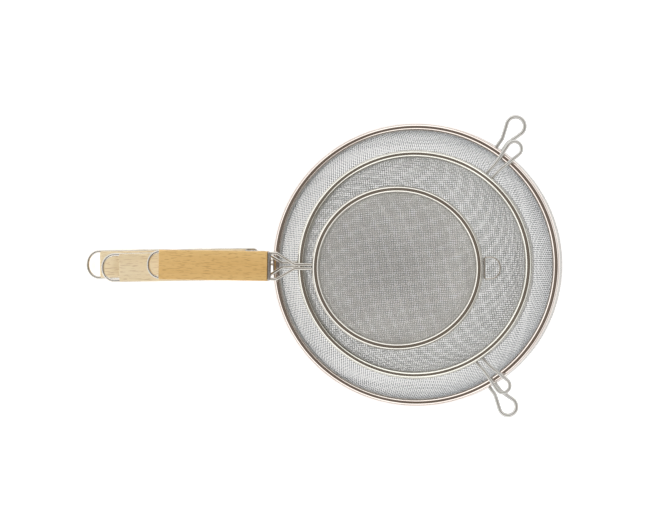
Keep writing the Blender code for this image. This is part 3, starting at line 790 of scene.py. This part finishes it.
def beech(name, pale, warm, fleck, seed, strength):
    """Flat-sawn beech: long soft streaks, short dark ray flecks and fine open pores."""
    material, shader, add = new_material(name)
    place = add("ShaderNodeAttribute", {"attribute_name": "own_place"})

    def pattern(kind, detail, **more):
        repeats, shift = GRAIN[kind]
        start = (seed + shift, seed * 2 - shift, seed)
        laid = add("ShaderNodeMapping", n0=place.outputs["Vector"], Scale=repeats, Location=start)
        noise = add("ShaderNodeTexNoise", Vector=laid.outputs[0], Scale=1.0, Detail=detail, **more)
        return noise.outputs["Fac"]

    def together(operation, *values):
        inputs = {f"n{i}": value for i, value in enumerate(values)}
        return add("ShaderNodeMath", {"operation": operation}, **inputs).outputs[0]

    streaks = pattern("streaks", 4.0, Roughness=0.6)
    grain = together("MULTIPLY", together("ADD", pattern("bands", 2.0), streaks), 0.6)
    tone = two_tones(add, grain, warm, pale, 0.42, 0.80)
    flecked = stretch(add, pattern("flecks", 1.0), 0.56, 0.66, 0.0, strength)
    colour = add("ShaderNodeMix", {"data_type": "RGBA"}, n0=flecked, n6=tone, n7=(*fleck, 1))
    rough = stretch(add, streaks, 0.0, 1.0, 0.42, 0.62)
    height = together("ADD", pattern("pores", 1.0), streaks)
    looks = (colour.outputs[2], rough, height)
    return surface(material, shader, add, *looks, strength=0.25, lift=0.00008)


for name in STRAINERS:
    low, high = reach_of(f"{name}_grip", grip_lie[name])
    groove = groove_of(name, GROOVE_ROOM)
    stations = eased_ends(low[0], high[0])
    outlines = [grip_outline(high[1], high[2], *groove, inset) for _, inset in stations]
    grip = block(f"{name}_beech_grip", outlines, [x for x, _ in stations], grip_lie[name])
    grip.data.materials.append(beech(*WOODS[name]))
    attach(grip, f"{name}_strainer")
    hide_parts(f"{name}_grip")


# End plates: a thin stainless plate for each grip, cut to its outline. It sits between the wires of the
# frame and stops the grip at its inner end. Its darker grey is also painted shade: it fills the grey
# strip that the shade on the grip's eased inner end makes.

# painted shade: the plate's grey is darker than the other steel, for the shade at the grip's inner end
PLATE_SHADE_TONES = ((0.46, 0.44, 0.44), (0.56, 0.54, 0.53))
PLATE_EASE = 0.0001  # off the plate's edges

shaded_plate_steel = wire_steel("end_plate_steel", *PLATE_SHADE_TONES, rough=(0.22, 0.36), grain=1500.0, lift=0.00002)
for name in STRAINERS:
    low, high = reach_of(f"{name}_end_plate", grip_lie[name])
    groove = groove_of(name, GROOVE_ROOM / 2)
    insets = (PLATE_EASE, 0, 0, PLATE_EASE)
    outlines = [grip_outline(high[1], high[2], *groove, inset) for inset in insets]
    places = [low[0], low[0] + PLATE_EASE, high[0] - PLATE_EASE, high[0]]
    plate = block(f"{name}_stop_plate", outlines, places, grip_lie[name])
    plate.data.materials.append(shaded_plate_steel)
    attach(plate, f"{name}_strainer")
    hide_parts(f"{name}_end_plate")


# Ears: on the far side of the large and medium rims, two teardrops of wire each, spot welded
# to the skirt. They rest on the edge of a pot.

REST_LOW = 0.0042  # middle of the wire, below the middle of the rolled edge
EAR_STRAIGHT = 0.26  # share of an ear's length where its legs run side by side
EAR_BEND = 0.008
EAR_STEP = 6  # degrees between points round the loop
LEG_SUNK = 0.0001  # how far a welded leg runs into the skirt
REST_TONES = ((0.62, 0.62, 0.60), (0.72, 0.72, 0.70))
EARS = {  # angle round the rim, lean, length, loop width, leg spacing, wire
    "large_ear_left": (54.8, 0.0, 0.0280, 0.0160, 0.0052, 0.0028),
    "large_ear_right": (-58.2, 4.0, 0.0266, 0.0153, 0.0049, 0.0028),
    "medium_ear_left": (51.0, -3.5, 0.0325, 0.0128, 0.0052, 0.0025),
    "medium_ear_right": (-57.0, 9.5, 0.0308, 0.0126, 0.0052, 0.0025),
}


def skirt_reach(half, start, heading):
    """How far a line runs from inside the rim to the outside of the skirt."""
    long, wide = half[0] + BEAD - SKIRT_IN, half[1] + BEAD - SKIRT_IN
    a = (heading.x / long) ** 2 + (heading.y / wide) ** 2
    b = start.x * heading.x / long**2 + start.y * heading.y / wide**2
    c = (start.x / long) ** 2 + (start.y / wide) ** 2 - 1
    return (math.sqrt(b * b - a * c) - b) / a


def teardrop(length, loop_width, spacing, wire):
    """Half of a teardrop's middle line: the knee, the points round to the tip, and the tip."""
    radius = (loop_width - wire) / 2
    middle = Vector((length - loop_width / 2, 0))
    knee = Vector((length * EAR_STRAIGHT, spacing / 2))
    across = middle - knee
    heading = math.atan2(across.y, across.x) + math.asin(radius / across.length)
    run = math.sqrt(across.length_squared - radius**2)
    touch = knee + Vector((math.cos(heading), math.sin(heading))) * run
    first = math.atan2(touch.y, touch.x - middle.x)
    steps = math.ceil(math.degrees(first) / EAR_STEP)
    turns = [first * (1 - i / steps) for i in range(steps)]
    points = [Vector((middle.x + radius * math.cos(t), radius * math.sin(t), 0)) for t in turns]
    return Vector((*knee, 0)), points, Vector((middle.x + radius, 0, 0))


rest_wire = wire_steel("rest_wire", *REST_TONES, rough=(0.10, 0.18), grain=3000.0, lift=0.0001, bare=0.6)
welds = {name: [] for name in STRAINERS}
for ear_name, (angle, lean, length, loop_width, spacing, wire) in EARS.items():
    name = ear_name.split("_")[0]
    half = rim_half[name]
    turn = math.radians(angle)
    skirt = [reach + BEAD - SKIRT_IN for reach in half]
    root = Vector((skirt[0] * math.cos(turn), skirt[1] * math.sin(turn)))
    bearing = math.atan2(root.y, root.x) + math.radians(lean)
    heading = Vector((math.cos(bearing), math.sin(bearing)))
    across = Vector((-heading.y, heading.x))
    legs = []
    for side in (1, -1):
        start = across * side * spacing / 2 + root - heading * root.length / 2
        reach = skirt_reach(half, start, heading) - root.length / 2
        legs.append(Vector((reach - LEG_SUNK, side * spacing / 2, 0)))
    knee, bend, tip = teardrop(length, loop_width, spacing, wire)
    upper = wire_path([legs[0], knee, bend[0]], [EAR_BEND])[:-1] + bend
    lower = [Vector((point.x, -point.y, 0)) for point in upper[:0:-1]]
    ear_lie = rim_lie[name] @ Matrix.Translation((*root, -REST_LOW)) @ Matrix.Rotation(bearing, 4, "Z")
    ear = bent_wire(f"{ear_name}_rest", upper + [tip] + lower + [legs[1]], wire, ear_lie)
    ear.data.materials.append(rest_wire)
    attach(ear, f"{name}_strainer")
    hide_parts(ear_name)
    welds[name] += [ear_lie @ leg for leg in legs]


# Rest ring: on the small strainer, a thinner wire bent to a half ring and closed by a
# straight side, which is spot welded along the skirt opposite the handle.

RING_WIDE = 0.0153
RING_OUT = 0.0128
RING_WIRE = 0.0014
RING_ROUND = 0.9  # 1 is a half circle
RING_WELDS = 0.0045  # either side of the middle
RING_WELDS_OUT = 0.0002  # from the skirt

half = rim_half["small"]
skirt = half[0] + BEAD - SKIRT_IN
near = skirt + WELD_GAP + RING_WIRE / 2
far = skirt + RING_OUT - RING_WIRE / 2
side = RING_WIDE / 2
corners = [Vector(p) for p in ((near, -side, 0), (far, -side, 0), (far, side, 0), (near, side, 0))]
radii = (RING_WIRE, side * RING_ROUND, side * RING_ROUND, RING_WIRE)
path = []
for i, radius in enumerate(radii):
    path += rounded(corners[i - 1], corners[i], corners[(i + 1) % 4], radius, 6)
ring_lie = rim_lie["small"] @ Matrix.Translation((0, 0, -REST_LOW))
ring = bent_wire("small_wire_rest", path, RING_WIRE, ring_lie, closed=True)
ring.data.materials.append(bright_wire)
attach(ring, "small_strainer")
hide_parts("small_rest_ring")
for y in (-RING_WELDS, RING_WELDS):
    welds["small"].append(ring_lie @ Vector((skirt + RING_WELDS_OUT, y, 0)))


# Spot welds: a small flattened bead of grey steel where each wire meets the skirt. No two
# are quite the same size.

WELD = {"large": 0.00155, "medium": 0.00145, "small": 0.0010}
LEAST, MOST = (0.85, 0.85, 0.6), (1.15, 1.15, 0.8)  # share of that size
WELD_TONES = ((0.42, 0.40, 0.38), (0.54, 0.52, 0.50))


def weld_tree(material):
    """Node tree that puts a flattened ball on each point."""
    tree = bpy.data.node_groups.new("spot welds", "GeometryNodeTree")
    tree.interface.new_socket("Geometry", in_out="INPUT", socket_type="NodeSocketGeometry")
    tree.interface.new_socket("Geometry", in_out="OUTPUT", socket_type="NodeSocketGeometry")
    tree.interface.new_socket("Weld Size", in_out="INPUT", socket_type="NodeSocketFloat")
    given = tree.nodes.new("NodeGroupInput").outputs
    ball = tree.nodes.new("GeometryNodeMeshIcoSphere")
    ball.inputs["Subdivisions"].default_value = 3
    tree.links.new(given["Weld Size"], ball.inputs["Radius"])
    uneven = tree.nodes.new("FunctionNodeRandomValue")
    uneven.data_type = "FLOAT_VECTOR"
    uneven.inputs[0].default_value = LEAST
    uneven.inputs[1].default_value = MOST
    uneven.inputs["Seed"].default_value = 5
    put = tree.nodes.new("GeometryNodeInstanceOnPoints")
    tree.links.new(given["Geometry"], put.inputs["Points"])
    tree.links.new(ball.outputs[0], put.inputs["Instance"])
    tree.links.new(uneven.outputs[0], put.inputs["Scale"])
    real = tree.nodes.new("GeometryNodeRealizeInstances")
    tree.links.new(put.outputs[0], real.inputs[0])
    finish = tree.nodes.new("GeometryNodeSetMaterial")
    finish.inputs["Material"].default_value = material
    tree.links.new(real.outputs[0], finish.inputs[0])
    out = tree.nodes.new("NodeGroupOutput")
    tree.links.new(finish.outputs[0], out.inputs[0])
    return tree


weld_steel = wire_steel("weld_steel", *WELD_TONES, rough=(0.28, 0.45), grain=2500.0, lift=0.00003)
spots = weld_tree(weld_steel)
for name in STRAINERS:
    pair = (FRAME_WIRE[name] + PAIR_GAP) / 2
    low, high = reach_of(f"{name}_handle_frame", grip_lie[name])
    for y in (-pair, pair):
        welds[name].append(grip_lie[name] @ Vector((high[0] + WELD_GAP / 2, y, 0)))
    points = bpy.data.meshes.new(f"{name}_weld_points")
    points.from_pydata([place[:] for place in welds[name]], [], [])
    made = grown(f"{name}_welds", points, spots, {"Weld Size": WELD[name]})
    weld = add_piece(f"{name}_welds", made)
    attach(weld, f"{name}_strainer")

low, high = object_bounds()
